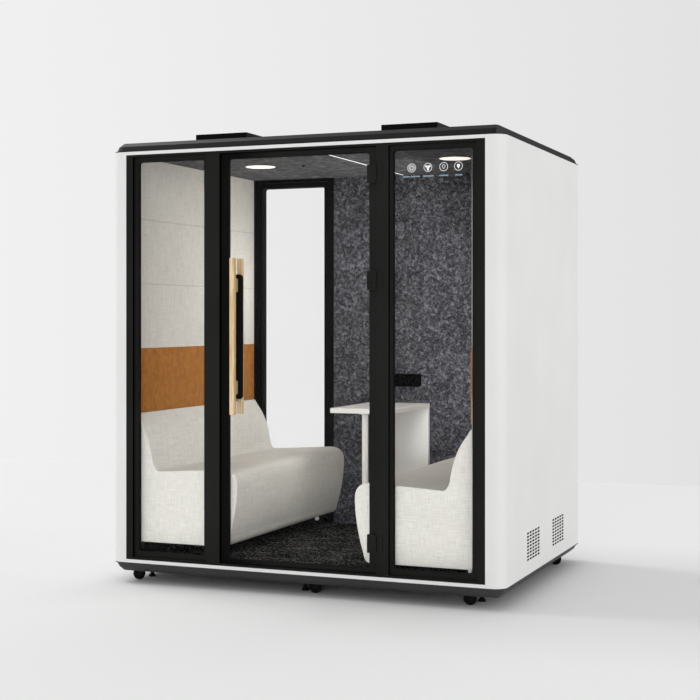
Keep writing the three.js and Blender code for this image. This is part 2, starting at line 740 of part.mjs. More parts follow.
// Power socket strip on the back wall over the table.
const socketY = tableRear - socketT;
const strip = pane(-socketW / 2, socketW / 2, socketLow, socketLow + socketH, socketY, tableRear, 6);
const outlets = [-outletStep, 0, outletStep].map((x) => {
  const g = new THREE.CylinderGeometry(outletR, outletR, 2 * outletDeep, 20);
  return g.translate(x, socketY, socketLow + socketH / 2);
});
add('power_socket', cut(strip, ...outlets), plastic);

export default pod;
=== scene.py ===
"""Looks of a four-seat acoustic office pod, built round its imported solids: coated shell and frames, clear glazing, felt,
woven and suede linings, two upholstered benches, oak door pulls and the small trim. Metres, +Z up, front towards -Y."""

import json
import math

import bpy
import numpy as np
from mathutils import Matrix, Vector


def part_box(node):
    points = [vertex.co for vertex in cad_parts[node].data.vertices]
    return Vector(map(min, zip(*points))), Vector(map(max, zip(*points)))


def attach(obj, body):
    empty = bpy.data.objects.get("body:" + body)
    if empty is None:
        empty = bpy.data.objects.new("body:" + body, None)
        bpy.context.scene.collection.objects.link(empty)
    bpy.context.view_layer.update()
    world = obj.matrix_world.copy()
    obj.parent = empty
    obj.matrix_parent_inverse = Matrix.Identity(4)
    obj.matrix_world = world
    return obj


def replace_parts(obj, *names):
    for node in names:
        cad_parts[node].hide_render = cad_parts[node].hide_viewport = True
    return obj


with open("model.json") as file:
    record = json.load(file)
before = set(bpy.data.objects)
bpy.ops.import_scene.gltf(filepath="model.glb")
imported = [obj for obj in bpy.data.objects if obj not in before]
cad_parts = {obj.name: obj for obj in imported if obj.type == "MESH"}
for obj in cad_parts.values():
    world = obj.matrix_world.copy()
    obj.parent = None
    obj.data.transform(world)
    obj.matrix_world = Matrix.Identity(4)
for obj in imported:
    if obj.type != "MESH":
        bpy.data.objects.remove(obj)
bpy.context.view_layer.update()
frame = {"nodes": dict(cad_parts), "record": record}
NODES = frame["nodes"]
MM = 0.001


# Colour and nodes
def linear(code):
    """Linear RGBA of an sRGB hex colour: c / 12.92 up to 0.04045, else ((c + 0.055) / 1.055) to the power 2.4."""
    c = np.array([int(code[i : i + 2], 16) for i in (1, 3, 5)]) / 255
    c = np.where(c <= 0.04045, c / 12.92, ((c + 0.055) / 1.055) ** 2.4)
    return (*map(float, c), 1.0)


def per(size_mm):
    """Pattern scale, in repeats a metre, of a feature that is size_mm across."""
    return 1000 / size_mm


def add(tree, kind, inputs=None, stops=(), **settings):
    """Adds one node: settings are its attributes, inputs maps a socket to a value or to the node or output that
    feeds it, and stops are a colour ramp's (position, hex) pairs."""
    made = tree.nodes.new(kind)
    for key, value in settings.items():
        setattr(made, key, value)
    for key, value in (inputs or {}).items():
        if isinstance(value, bpy.types.Node):
            value = next(out for out in value.outputs if out.enabled)
        if isinstance(value, bpy.types.NodeSocket):
            tree.links.new(value, made.inputs[key])
        else:
            made.inputs[key].default_value = value
    for i, (at, code) in enumerate(stops):
        line = made.color_ramp.elements
        stop = line[i] if i < 2 else line.new(at)
        stop.position = at
        stop.color = linear(code)
    return made


def finish(name, code="#808080", **sockets):
    """A material with one Principled shader, its plain sockets set; returns it, its tree, the shader and Object place."""
    made = bpy.data.materials.new(name)
    made.use_nodes = True
    tree = made.node_tree
    tree.nodes.clear()
    values = {key.replace("_", " "): value for key, value in sockets.items()}
    shader = add(tree, "ShaderNodeBsdfPrincipled", {"Base Color": linear(code), **values})
    add(tree, "ShaderNodeOutputMaterial", {"Surface": shader})
    return made, tree, shader, add(tree, "ShaderNodeTexCoord").outputs["Object"]


def feed(tree, shader, **nodes):
    """Links nodes to the shader's sockets by name."""
    for key, node in nodes.items():
        out = node if isinstance(node, bpy.types.NodeSocket) else next(o for o in node.outputs if o.enabled)
        tree.links.new(out, shader.inputs[key.replace("_", " ")])


# Finishes
def powder_coat(name, low, high, rough, level, shade=None):
    """Polyester powder coat on sheet metal: one even colour with a slow cloud in it, a fine orange peel about 3 mm
    across that softens the highlight, edges eased by 1.5 mm. shade is (source, axis, start, full, reach, colour): along
    that axis of the place or the normal, from start to full and within reach of the middle, the coat turns to another
    colour without gloss. That is painted light, not the coat's colour: painted shade in the wall's slots, on the
    reveals that face right and on the door's lock side, and a painted dull grey in place of the reflection on the cap's
    right edge."""
    mat, t, shader, place = finish(name, IOR=1.5, Specular_IOR_Level=level)
    cloud = add(t, "ShaderNodeTexNoise", {"Vector": place, "Scale": per(450), "Detail": 2.0})
    tint = add(t, "ShaderNodeValToRGB", {"Fac": cloud}, stops=[(0.3, low), (0.7, high)])
    # Painted light: inside the mask the coat becomes a flat colour without gloss, standing in for shade or a dim
    # reflection.
    if shade:
        source, axis, start, full, reach, code = shade
        along = add(t, "ShaderNodeSeparateXYZ", {"Vector": add(t, "ShaderNodeTexCoord").outputs[source]}).outputs
        deep = add(t, "ShaderNodeMapRange", {"Value": along[axis], "From Min": start, "From Max": full})
        axes = add(t, "ShaderNodeSeparateXYZ", {"Vector": place}).outputs
        side = add(t, "ShaderNodeMath", {0: axes["Y"]}, operation="ABSOLUTE")
        flat = add(t, "ShaderNodeMath", {0: side, 1: reach}, operation="LESS_THAN")
        dim = add(t, "ShaderNodeMath", {0: deep, 1: flat}, operation="MULTIPLY")
        tint = add(t, "ShaderNodeMix", {"Factor": dim, 6: tint, 7: linear(code)}, data_type="RGBA")
        feed(t, shader, Specular_IOR_Level=add(t, "ShaderNodeMapRange", {"Value": dim, "To Min": level, "To Max": 0.0}))
    peel = add(t, "ShaderNodeTexNoise", {"Vector": place, "Scale": per(3), "Detail": 2.0})
    sheen = add(t, "ShaderNodeMapRange", {"Value": peel, "To Min": rough - 0.06, "To Max": rough + 0.08})
    edge = add(t, "ShaderNodeBevel", {"Radius": 1.5 * MM}, samples=4)
    skin = add(t, "ShaderNodeBump", {"Height": peel, "Distance": 0.05 * MM, "Strength": 0.5, "Normal": edge})
    feed(t, shader, Base_Color=tint, Roughness=sheen, Normal=skin)
    return mat


def laminated_glass():
    """Clear laminated glass with an anti-reflective coat: sharp and colourless. The coat leaves only a faint mirror
    image, so the index is set low. Lamps shine straight through it."""
    mat, t, shader, _ = finish("laminated_glass", "#FEFEFE", Roughness=0.0, IOR=1.12, Transmission_Weight=1.0)
    path = add(t, "ShaderNodeLightPath").outputs["Is Shadow Ray"]
    clear = add(t, "ShaderNodeBsdfTransparent", {"Color": linear("#FDFEFE")})
    mixed = add(t, "ShaderNodeMixShader", {0: path, 1: shader, 2: clear})
    output = next(node for node in t.nodes if node.type == "OUTPUT_MATERIAL")
    t.links.new(mixed.outputs[0], output.inputs["Surface"])
    return mat


def pressed_felt(name, fleck_mm, stops):
    """Needled polyester felt: matted dark and pale fibres in curling flecks, no shine at all. The ceiling is seen along
    its face, so its flecks are drawn coarser there."""
    mat, t, shader, place = finish(name, Roughness=1.0, Sheen_Weight=0.1, Sheen_Roughness=0.6)
    shader.inputs["Specular IOR Level"].default_value = 0.1
    curl = {"Vector": place, "Scale": per(2 * fleck_mm), "Detail": 3.0, "Roughness": 0.6, "Distortion": 0.9}
    fleck = add(t, "ShaderNodeTexNoise", curl)
    fine = add(t, "ShaderNodeTexNoise", {"Vector": place, "Scale": per(fleck_mm), "Detail": 2.0, "Distortion": 0.8})
    cloud = add(t, "ShaderNodeTexNoise", {"Vector": place, "Scale": per(110), "Detail": 2.0})
    some = add(t, "ShaderNodeMath", {0: fine, 1: 0.45, 2: fleck}, operation="MULTIPLY_ADD")
    most = add(t, "ShaderNodeMath", {0: cloud, 1: 0.2, 2: some}, operation="MULTIPLY_ADD")
    half = add(t, "ShaderNodeMath", {0: most, 1: 0.606}, operation="MULTIPLY")
    tint = add(t, "ShaderNodeValToRGB", {"Fac": half}, stops=stops)
    skin = add(t, "ShaderNodeBump", {"Height": most, "Distance": 1.2 * MM, "Strength": 0.5})
    feed(t, shader, Base_Color=tint, Normal=skin)
    return mat


def cut_pile_carpet():
    """Cut-pile nylon carpet: charcoal yarn ends, drawn 5 mm across and three times as long, as the pile lies over towards
    the back; pale tips and deep gaps."""
    mat, t, shader, place = finish("cut_pile_carpet", Roughness=1.0, Specular_IOR_Level=0.0)
    lie = add(t, "ShaderNodeMapping", {"Vector": place, "Scale": (1, 0.3, 1)})
    tuft = add(t, "ShaderNodeTexNoise", {"Vector": lie, "Scale": per(10), "Detail": 2.0, "Roughness": 0.7})
    cloud = add(t, "ShaderNodeTexNoise", {"Vector": place, "Scale": per(140), "Detail": 2.0})
    both = add(t, "ShaderNodeMath", {0: cloud, 1: 0.3, 2: tuft}, operation="MULTIPLY_ADD")
    stops = [(0.52, "#111111"), (0.66, "#2B2B2B"), (0.78, "#686866")]
    tint = add(t, "ShaderNodeValToRGB", {"Fac": both}, stops=stops)
    skin = add(t, "ShaderNodeBump", {"Height": tuft, "Distance": 4 * MM, "Strength": 0.7})
    feed(t, shader, Base_Color=tint, Normal=skin)
    return mat


def plain_weave(name, deep, pale, thread_mm, uv=False, seams=()):
    """Plain-weave cloth: slubby threads both ways, drawn thread_mm wide so that they show, each way a noise drawn out
    14 times along its thread; on the benches it follows the cover's own map, on the walls the height and length. Seams
    at the given heights show as a dark stitch line, drawn 5 mm wide so that it shows."""
    mat, t, shader, place = finish(name, Roughness=0.95, Sheen_Weight=0.12, Sheen_Roughness=0.5)
    shader.inputs["Specular IOR Level"].default_value = 0.15
    if uv:
        place = add(t, "ShaderNodeTexCoord").outputs["UV"]
    ways = [(1, 35, 1), (14, 2.5, 1)] if uv else [(1, 14, 1), (1, 2.5, 14)]
    threads = []
    for way in ways:
        drawn = add(t, "ShaderNodeMapping", {"Vector": place, "Scale": [1 / w for w in way]})
        grain = {"Vector": drawn, "Scale": per(thread_mm), "Detail": 2.0, "Roughness": 0.6}
        threads.append(add(t, "ShaderNodeTexNoise", grain))
    cross = add(t, "ShaderNodeMath", {0: threads[0], 1: threads[1]}, operation="ADD")
    cloud = add(t, "ShaderNodeTexNoise", {"Vector": place, "Scale": per(300), "Detail": 2.0})
    both = add(t, "ShaderNodeMath", {0: cloud, 1: 0.3, 2: cross}, operation="MULTIPLY_ADD")
    half = add(t, "ShaderNodeMath", {0: both, 1: 0.435}, operation="MULTIPLY")
    tint = add(t, "ShaderNodeValToRGB", {"Fac": half}, stops=[(0.36, deep), (0.64, pale)])
    for height in seams:
        up = add(t, "ShaderNodeSeparateXYZ", {"Vector": place}).outputs["Z"]
        stitch = add(t, "ShaderNodeMath", {0: up, 1: height, 2: 2.5 * MM}, operation="COMPARE")
        dark = add(t, "ShaderNodeMath", {0: stitch, 1: 0.24}, operation="MULTIPLY")
        tint = add(t, "ShaderNodeMix", {"Factor": dark, 6: tint, 7: linear("#5A574F")}, data_type="RGBA")
    skin = add(t, "ShaderNodeBump", {"Height": cross, "Distance": 0.5 * MM, "Strength": 0.6})
    feed(t, shader, Base_Color=tint, Normal=skin)
    return mat


def brushed_suede():
    """Brushed tan suede cloth: nap laid in cloudy patches about 26 mm across, darker and lighter brown."""
    mat, t, shader, place = finish("tan_suede", Roughness=0.95, Sheen_Weight=0.2, Sheen_Roughness=0.4)
    shader.inputs["Specular IOR Level"].default_value = 0.15
    patch = add(t, "ShaderNodeTexNoise", {"Vector": place, "Scale": per(26), "Detail": 6.0, "Roughness": 0.75})
    nap = add(t, "ShaderNodeTexNoise", {"Vector": place, "Scale": per(6), "Detail": 3.0})
    both = add(t, "ShaderNodeMath", {0: nap, 1: 0.3, 2: patch}, operation="MULTIPLY_ADD")
    stops = [(0.45, "#8E571C"), (0.65, "#A76A26"), (0.85, "#BB8033")]
    tint = add(t, "ShaderNodeValToRGB", {"Fac": both}, stops=stops)
    skin = add(t, "ShaderNodeBump", {"Height": nap, "Distance": 0.4 * MM, "Strength": 0.5})
    feed(t, shader, Base_Color=tint, Normal=skin)
    return mat


def oiled_oak():
    """Oiled light oak: straight grain up the bar, growth rings 6 mm apart and pores as dashes 25 times as long as wide."""
    mat, t, shader, place = finish("oiled_oak", Roughness=0.5, IOR=1.5)
    drawn = add(t, "ShaderNodeMapping", {"Vector": place, "Scale": (1, 1, 0.04)})
    rings = add(t, "ShaderNodeTexNoise", {"Vector": drawn, "Scale": per(6), "Detail": 3.0})
    pores = add(t, "ShaderNodeTexNoise", {"Vector": drawn, "Scale": per(1.8), "Detail": 2.0})
    both = add(t, "ShaderNodeMath", {0: pores, 1: 0.4, 2: rings}, operation="MULTIPLY_ADD")
    stops = [(0.48, "#B58F5F"), (0.66, "#CAAC80"), (0.84, "#D7C39E")]
    tint = add(t, "ShaderNodeValToRGB", {"Fac": both}, stops=stops)
    skin = add(t, "ShaderNodeBump", {"Height": pores, "Distance": 0.15 * MM, "Strength": 0.4})
    feed(t, shader, Base_Color=tint, Normal=skin)
    return mat


def moulded(name, code, rough, level=0.4, grain_mm=1.2):
    """Moulded plastic or rubber: dyed right through, with a spark-eroded grain."""
    mat, t, shader, place = finish(name, code, IOR=1.46, Specular_IOR_Level=level)
    grain = add(t, "ShaderNodeTexNoise", {"Vector": place, "Scale": per(grain_mm), "Detail": 2.0})
    sheen = add(t, "ShaderNodeMapRange", {"Value": grain, "To Min": rough - 0.06, "To Max": rough + 0.08})
    edge = add(t, "ShaderNodeBevel", {"Radius": 0.8 * MM}, samples=4)
    skin = add(t, "ShaderNodeBump", {"Height": grain, "Distance": 0.05 * MM, "Strength": 0.5, "Normal": edge})
    feed(t, shader, Roughness=sheen, Normal=skin)
    return mat


def satin_laminate():
    """White high-pressure laminate: satin, with the faint pebble of its press plate and eased edges."""
    mat, t, shader, place = finish("satin_laminate", Roughness=0.38, IOR=1.5, Specular_IOR_Level=0.4)
    cloud = add(t, "ShaderNodeTexNoise", {"Vector": place, "Scale": per(400), "Detail": 2.0})
    tint = add(t, "ShaderNodeValToRGB", {"Fac": cloud}, stops=[(0.3, "#E6E5E1"), (0.7, "#EBEAE7")])
    pebble = add(t, "ShaderNodeTexNoise", {"Vector": place, "Scale": per(1.5), "Detail": 2.0})
    edge = add(t, "ShaderNodeBevel", {"Radius": 1.2 * MM}, samples=4)
    skin = add(t, "ShaderNodeBump", {"Height": pebble, "Distance": 0.03 * MM, "Strength": 0.4, "Normal": edge})
    feed(t, shader, Base_Color=tint, Normal=skin)
    return mat


def lit(name, code, strength):
    """Opal acrylic that gives light of its own, or printed film given a painted glow though it is no lamp, with a faint
    moulded ripple.
    """
    mat, t, shader, place = finish(name, code, Roughness=0.45, Emission_Color=linear(code), Emission_Strength=strength)
    ripple = add(t, "ShaderNodeTexNoise", {"Vector": place, "Scale": per(4), "Detail": 1.0})
    skin = add(t, "ShaderNodeBump", {"Height": ripple, "Distance": 0.03 * MM, "Strength": 0.3})
    feed(t, shader, Normal=skin)
    return mat


def bright_metal(name, low, high, rough):
    """Turned or polished metal: fine streaks about 1 mm apart that stretch the highlight."""
    mat, t, shader, place = finish(name, Metallic=1.0)
    streak = add(t, "ShaderNodeTexNoise", {"Vector": place, "Scale": per(1), "Detail": 2.0})
    tint = add(t, "ShaderNodeValToRGB", {"Fac": streak}, stops=[(0.3, low), (0.7, high)])
    sheen = add(t, "ShaderNodeMapRange", {"Value": streak, "To Min": rough - 0.05, "To Max": rough + 0.1})
    feed(t, shader, Base_Color=tint, Roughness=sheen)
    return mat


WHITE = powder_coat("white_powder_coat", "#E7E7E6", "#ECECEB", 0.45, 0.35)
WALL_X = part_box("right_wall")[1].x
# Painted shade: deeper than the wall's skin, inside the air slots, the white coat turns near black to stand for the
# shade in the slots.
SLOT_SHADE = ("Object", "X", WALL_X - 1.4 * MM, WALL_X - 1.6 * MM, 0.70, "#0B0B0B")
SLOT_SHADED_WHITE = powder_coat("white_powder_coat_painted_slot_shade", "#E7E7E6", "#ECECEB", 0.45, 0.35, SLOT_SHADE)
BLACK = powder_coat("black_powder_coat", "#181817", "#1D1D1C", 0.5, 0.09)
# A darker black than the frame coat, on the rear window frame and the fan cowls.
DEEP_BLACK = powder_coat("deep_black_coat", "#060606", "#090909", 0.45, 0.06)
# Painted shade: every face of the front frame that faces right is painted near black without gloss, standing in for the
# shade on the reveals.
REVEAL_SHADED_BLACK = powder_coat("black_coat_painted_reveal_shade", "#181817", "#1D1D1C", 0.5, 0.09, ("Normal", "X", 0.5, 0.8, 9, "#060606"))
# Painted shade: the door frame turns darker and loses its gloss towards the lock side, standing in for the shade cast
# there by the jamb.
DOOR_LOCK_SHADED = powder_coat("black_door_coat_painted_lock_shade", "#181817", "#1D1D1C", 0.5, 0.09, ("Object", "X", -0.15, -0.33, 9, "#121212"))
# Painted reflection: past the right edge's bevel the cap is a flat grey without gloss, standing in for the dim
# reflection there.
CAP_EDGE_PAINTED = powder_coat("black_satin_coat_painted_edge_reflection", "#0F0F0F", "#141414", 0.30, 0.17, ("Object", "X", 1.036, 1.040, 9, "#424242"))
GREY_BLACK = powder_coat("graphite_powder_coat", "#343434", "#3B3B3B", 0.52, 0.3)
GLASS = laminated_glass()
FLECKS = [(0.40, "#232326"), (0.48, "#3A3A3F"), (0.55, "#525257"), (0.63, "#737379")]
FELT = pressed_felt("charcoal_felt", 10.5, FLECKS)
STREAKS = [(0.40, "#181819"), (0.48, "#343437"), (0.55, "#505054"), (0.63, "#747479")]
CEILING_FELT = pressed_felt("charcoal_ceiling_felt", 22, STREAKS)
CARPET = cut_pile_carpet()
GREIGE = plain_weave("greige_weave", "#CECBC3", "#DFDCD5", 6.5, seams=(0.547, 1.589, 1.936))
LINEN = plain_weave("offwhite_linen", "#D5D2CA", "#EDEBE5", 5.0, uv=True)
SUEDE = brushed_suede()
OAK = oiled_oak()
LAMINATE = satin_laminate()
LAMP = lit("opal_acrylic_lamp", "#FFFAF2", 0.8)
LINE_LIGHT = lit("opal_acrylic_line", "#FFFFFF", 0.9)
# Painted glow: the signs' printed film is given a faint light of its own, though it is no lamp.
GLOWING_PRINT = lit("white_printed_film_painted_glow", "#E8ECEC", 0.12)
GLOWING_LABEL = lit("blue_printed_film_painted_glow", "#8FA6B8", 0.08)
NYLON = moulded("black_nylon", "#111111", 0.5, 0.25)
SOCKET = moulded("black_polycarbonate", "#030303", 0.6, 0.06)
RUBBER = moulded("caster_rubber", "#0B0B0B", 0.75, 0.2, 2.0)
GASKET = moulded("black_gasket_rubber", "#0A0A0A", 0.55, 0.2, 2.0)
PALE_NYLON = moulded("pale_nylon", "#E0DFDA", 0.5, 0.3)
ARRIS = bright_metal("polished_glass_arris", "#C9CDCC", "#E2E5E4", 0.12)

SLOTS = {
    "shell_white": WHITE, "frame_black": BLACK, "glazing": GLASS, "carpet": CARPET, "felt": FELT,
    "greige_fabric": GREIGE, "tan_fabric": SUEDE, "linen": LINEN, "oak": OAK, "laminate": LAMINATE,
    "diffuser": LAMP, "plastic_black": NYLON, "tyre_rubber": RUBBER,
}
OWN = {
    "right_wall": SLOT_SHADED_WHITE, "front_frame": REVEAL_SHADED_BLACK, "door_frame": DOOR_LOCK_SHADED, "rear_window_frame": DEEP_BLACK, "roof_cap": CAP_EDGE_PAINTED,
    "fan_cowl_left": DEEP_BLACK, "fan_cowl_right": DEEP_BLACK, "base_chassis": GREY_BLACK, "power_socket": SOCKET,
    "ceiling_panel": CEILING_FELT,
}
for part in frame["record"]["subparts"]:
    mesh = NODES[part["node"]].data
    mesh.materials.clear()
    mesh.materials.append(OWN.get(part["node"], SLOTS[part["material_slot"]]))


# Surfaces
def piece(name, points, faces, material, body, smooth=True, uv=None):
    """Puts points and faces in a mesh with its finish, and its own map where uv gives one pair for each face corner;
    the piece rides on a body."""
    mesh = bpy.data.meshes.new(name)
    mesh.from_pydata(np.asarray(points, float).reshape(-1, 3).tolist(), [], faces)
    mesh.polygons.foreach_set("use_smooth", np.full(len(mesh.polygons), smooth))
    if uv is not None:
        mesh.uv_layers.new(name="cloth").data.foreach_set("uv", np.asarray(uv, float).ravel())
    mesh.materials.append(material)
    made = bpy.data.objects.new(name, mesh)
    bpy.context.scene.collection.objects.link(made)
    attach(made, body)
    return made


def quads(rows, columns, ring=False, first=0):
    """Faces of a grid [row, column] whose columns close on themselves, and whose rows do too where ring is true."""
    r = np.arange(rows if ring else rows - 1)[:, None]
    c = np.arange(columns)[None, :]
    nr, nc = (r + 1) % rows, (c + 1) % columns
    made = np.stack([r * columns + c, r * columns + nc, nr * columns + nc, nr * columns + c], -1)
    return (made.reshape(-1, 4) + first).tolist()


def capped(rings, first=0):
    """Faces of a stack of closed rings [row, column], with the first and the last ring filled."""
    rows, columns = rings.shape[:2]
    start = (first + np.arange(columns)[::-1]).tolist()
    end = (first + (rows - 1) * columns + np.arange(columns)).tolist()
    return [*quads(rows, columns, first=first), start, end]


def together(stacks, faces_of):
    """Points and faces of several stacks of rings laid end to end in one mesh."""
    counts = [s.shape[0] * s.shape[1] for s in stacks]
    firsts = np.concatenate([[0], np.cumsum(counts)[:-1]])
    faces = [face for s, first in zip(stacks, firsts) for face in faces_of(s, int(first))]
    return np.concatenate([s.reshape(-1, 3) for s in stacks]), faces


def closed_ring(rings, first=0):
    """Faces of a section carried round a closed path: a grid that closes both ways."""
    return quads(*rings.shape[:2], ring=True, first=first)


def bezier(points, count):
    """Bernstein sum of the control points at count values of t from 0 up to, but without, 1."""
    p = np.asarray(points, float)
    n = len(p) - 1
    t = np.linspace(0, 1, count, endpoint=False)[:, None]
    return sum(math.comb(n, i) * t**i * (1 - t) ** (n - i) * p[i] for i in range(n + 1))


def evenly(loop, count):
    """A closed curve taken again at count points of even arc length."""
    closed = np.vstack([loop, loop[:1]])
    length = np.concatenate([[0], np.cumsum(np.linalg.norm(np.diff(closed, axis=0), axis=1))])
    at = np.linspace(0, length[-1], count, endpoint=False)
    return np.stack([np.interp(at, length, closed[:, i]) for i in range(loop.shape[1])], 1), at


def tube(path, radius, sides=8):
    """A round section carried round a closed path: centre + r (cos a U + sin a V), U and V square to the path."""
    ahead = np.roll(path, -1, 0) - np.roll(path, 1, 0)
    ahead /= np.linalg.norm(ahead, axis=1, keepdims=True)
    side = np.cross(ahead, [[0, 1.0, 0]])
    up = np.cross(side, ahead)
    a = np.linspace(0, 2 * math.pi, sides, endpoint=False)[None, :, None]
    return path[:, None] + radius * (np.cos(a) * side[:, None] + np.sin(a) * up[:, None])


# Benches: distance from the nose and height over the underside, in mm, as runs of a curve with the way each run crowns
BENCH_D = 616
BENCH_SIDE = [
    ([(78, 0), (52, 2), (45, 48)], (0, 0)),
    ([(45, 48), (22, 120), (0, 220), (0, 320)], (-3, 0)),
    ([(0, 320), (0, 372), (30, 400), (95, 398)], (0, 0)),
    ([(95, 398), (455, 376)], (0, 6)),
    ([(455, 376), (484, 374), (496, 420)], (0, 0)),
    ([(496, 420), (508, 500), (528, 575), (580, 640)], (-4, 0)),
    ([(580, 640), (595, 660), (600, 678), (608, 678)], (0, 0)),
    ([(608, 678), (616, 678), (616, 668)], (0, 0)),
    ([(616, 668), (616, 14)], (0, 0)),
    ([(616, 14), (616, 0), (602, 0)], (0, 0)),
    ([(602, 0), (78, 0)], (0, 0)),
]


def bench(name, node, wall):
    """Firm foam bench in tight linen. The side profile is carried along Y; its ends round over by a quarter circle of
    8 mm; each run of the profile crowns by sin(pi u) sin(pi y / L)^0.6; near the end seams the cloth pulls in ripples
    that fade as exp(-d / 50 mm). A thin piping cord follows both end seams. wall is the X of its back, side its way in."""
    low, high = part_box(node)
    back, way = wall
    raw, push = [], []
    for control, crown in BENCH_SIDE:
        u = np.linspace(0, 1, 60, endpoint=False)
        raw.append(bezier(control, 60))
        push.append(np.sin(math.pi * u)[:, None] * np.array(crown))
    both, arc = evenly(np.hstack([np.concatenate(raw), np.concatenate(push)]) * MM, 360)
    loop, push = both[:, :2], both[:, 2:]
    ahead = np.roll(loop, -1, 0) - np.roll(loop, 1, 0)
    ahead /= np.linalg.norm(ahead, axis=1, keepdims=True)
    inward = np.stack([ahead[:, 1], -ahead[:, 0]], 1)
    turn = 8 * MM
    length = high.y - low.y
    a = np.linspace(0, math.pi / 2, 6)
    start, draw = turn * (1 - np.cos(a)), turn * (1 - np.sin(a))
    middle = turn + (length - 2 * turn) * (0.5 - 0.5 * np.cos(math.pi * np.linspace(0, 1, 111)[1:-1]))
    y = np.concatenate([start, middle, length - start[::-1]])
    inset = np.concatenate([draw, 0 * middle, draw[::-1]])
    crown = np.sin(math.pi * y / length)[:, None] ** 0.6
    near = np.minimum(y, length - y)[:, None]
    turnover = 2 * math.pi * np.arange(len(loop))[None] / len(loop)
    pulls = 0.55 * MM * np.exp(-near / 0.05) * np.sin(52 * turnover + 3 * np.sin(5 * turnover))
    slack = 0.8 * MM * crown * np.sin(9.1 * y[:, None] + 5 * turnover) * np.sin(3 * turnover + 1.3 * y[:, None])
    free = (loop[:, 1] > 0.02) & (loop[:, 0] < 0.59)
    out = (pulls + slack) * np.minimum(1, near / 0.02) * free
    flat = loop[None] + crown[..., None] * push[None] + inward[None] * (inset[:, None] - out)[..., None]
    x = back + way * (BENCH_D * MM - flat[..., 0])
    rings = np.stack([x, low.y + y[:, None] + 0 * x, low.z + flat[..., 1]], -1)
    rings = rings[:, ::-1] if way < 0 else rings
    map_u = np.broadcast_to(arc, flat.shape[:2])
    map_u = map_u[:, ::-1] if way < 0 else map_u
    cloth = np.stack([map_u, y[:, None] + 0 * map_u], -1).reshape(-1, 2)
    faces = capped(rings)
    corner = np.concatenate([np.array(faces[:-2]).ravel(), faces[-2], faces[-1]])
    uv = cloth[corner]
    wraps = uv[: 4 * len(faces[:-2])].reshape(-1, 4, 2)
    wide = (wraps[..., 0].max(1) - wraps[..., 0].min(1)) > 0.5
    wraps[..., 0] += wide[:, None] * (wraps[..., 0] < 0.5) * (arc[-1] + arc[1])
    ends = rings.reshape(-1, 3)[corner[4 * len(faces[:-2]) :]]
    uv[4 * len(faces[:-2]) :] = ends[:, [0, 2]] * (1, 2.5)
    cover = piece(name, rings, faces, LINEN, "pod", uv=uv)
    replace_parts(cover, node)
    seam = loop + inward * 1.6 * MM
    for end, at in (("near", 1.9 * MM), ("far", length - 1.9 * MM)):
        path = np.stack([back + way * (BENCH_D * MM - seam[:, 0]), np.full(len(seam), low.y + at), low.z + seam[:, 1]], 1)
        cord = tube(path if way > 0 else path[::-1], 1.9 * MM)
        grid = closed_ring(cord)
        around = np.arange(cord.shape[0] * cord.shape[1])
        run = np.stack([arc[around // 8 % len(arc)], 0.002 * (around % 8)], 1)
        piece(f"{name}_piping_{end}", cord, grid, LINEN, "pod", uv=run[np.array(grid).ravel()])


bench("bench_left", "sofa_left", (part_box("sofa_left")[0].x, 1))
bench("bench_right", "sofa_right", (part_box("sofa_right")[1].x, -1))


# Door pulls
def squared(half_x, half_y, sharp, count=40):
    """Rounded rectangle as a superellipse: |x / a|^n + |y / b|^n = 1."""
    a = np.linspace(0, 2 * math.pi, count, endpoint=False)
    c, s = np.cos(a), np.sin(a)
    r = (np.abs(c) ** sharp + np.abs(s) ** sharp) ** (-1 / sharp)
    return np.stack([half_x * r * c, half_y * r * s], 1)


def door_pull(name, node, outer):
    """Oak bar on two feet: a rounded square carried up the bar and drawn in at its ends by a small round, and feet
    whose height swells towards the bar as (1 - t)^3."""
    low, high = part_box(node)
    half = (high.x - low.x) / 2
    mid = (low.x + high.x) / 2
    bar, door = (low.y + half, high.y) if outer else (high.y - half, low.y)
    a = np.linspace(0, math.pi / 2, 5)
    ease = 2.5 * MM
    rise = np.concatenate([low.z + ease * (1 - np.cos(a)), np.linspace(low.z + 0.02, high.z - 0.02, 30),
                           high.z - ease * (1 - np.cos(a[::-1]))])
    size = np.concatenate([half - ease * (1 - np.sin(a)), np.full(30, half), half - ease * (1 - np.sin(a[::-1]))]) / half
    flat = squared(half, half, 14)
    shaft = np.stack([mid + size[:, None] * flat[None, :, 0], bar + size[:, None] * flat[None, :, 1],
                      rise[:, None] + 0 * flat[None, :, 0]], -1)
    stacks = [shaft]
    tall, inset, flare = 70 * MM, 104 * MM, 11 * MM
    t = np.linspace(0, 1, 16)[:, None]
    for middle in (low.z + inset + tall / 2, high.z - inset - tall / 2):
        end = squared(half - 2 * MM, 1.0, 9)[None]
        tallness = tall / 2 + flare * np.clip(1 - 1.5 * (t - 0.2), 0, 1.15) ** 3
        way = bar + (door - bar) * t
        foot = np.stack([mid + end[..., 0] + 0 * t, way + 0 * end[..., 0], middle + tallness * end[..., 1]], -1)
        stacks.append(foot[:, ::-1] if outer else foot)
    points, faces = together(stacks, capped)
    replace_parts(piece(name, points, faces, OAK, "door"), node)


door_pull("oak_pull_outer", "outer_handle", True)
door_pull("oak_pull_inner", "inner_handle", False)


# Beads round the panes, door seal
def round_frame(x0, x1, z0, z1, radius, corner=9):
    """Closed outline of a rectangle in XZ with quarter-circle corners."""
    a = np.linspace(0, math.pi / 2, corner)
    turns = [(x1 - radius, z0 + radius, -0.5), (x1 - radius, z1 - radius, 0), (x0 + radius, z1 - radius, 0.5), (x0 + radius, z0 + radius, 1)]
    return np.concatenate([np.stack([cx + radius * np.cos(a + b * math.pi), cz + radius * np.sin(a + b * math.pi)], 1) for cx, cz, b in turns])


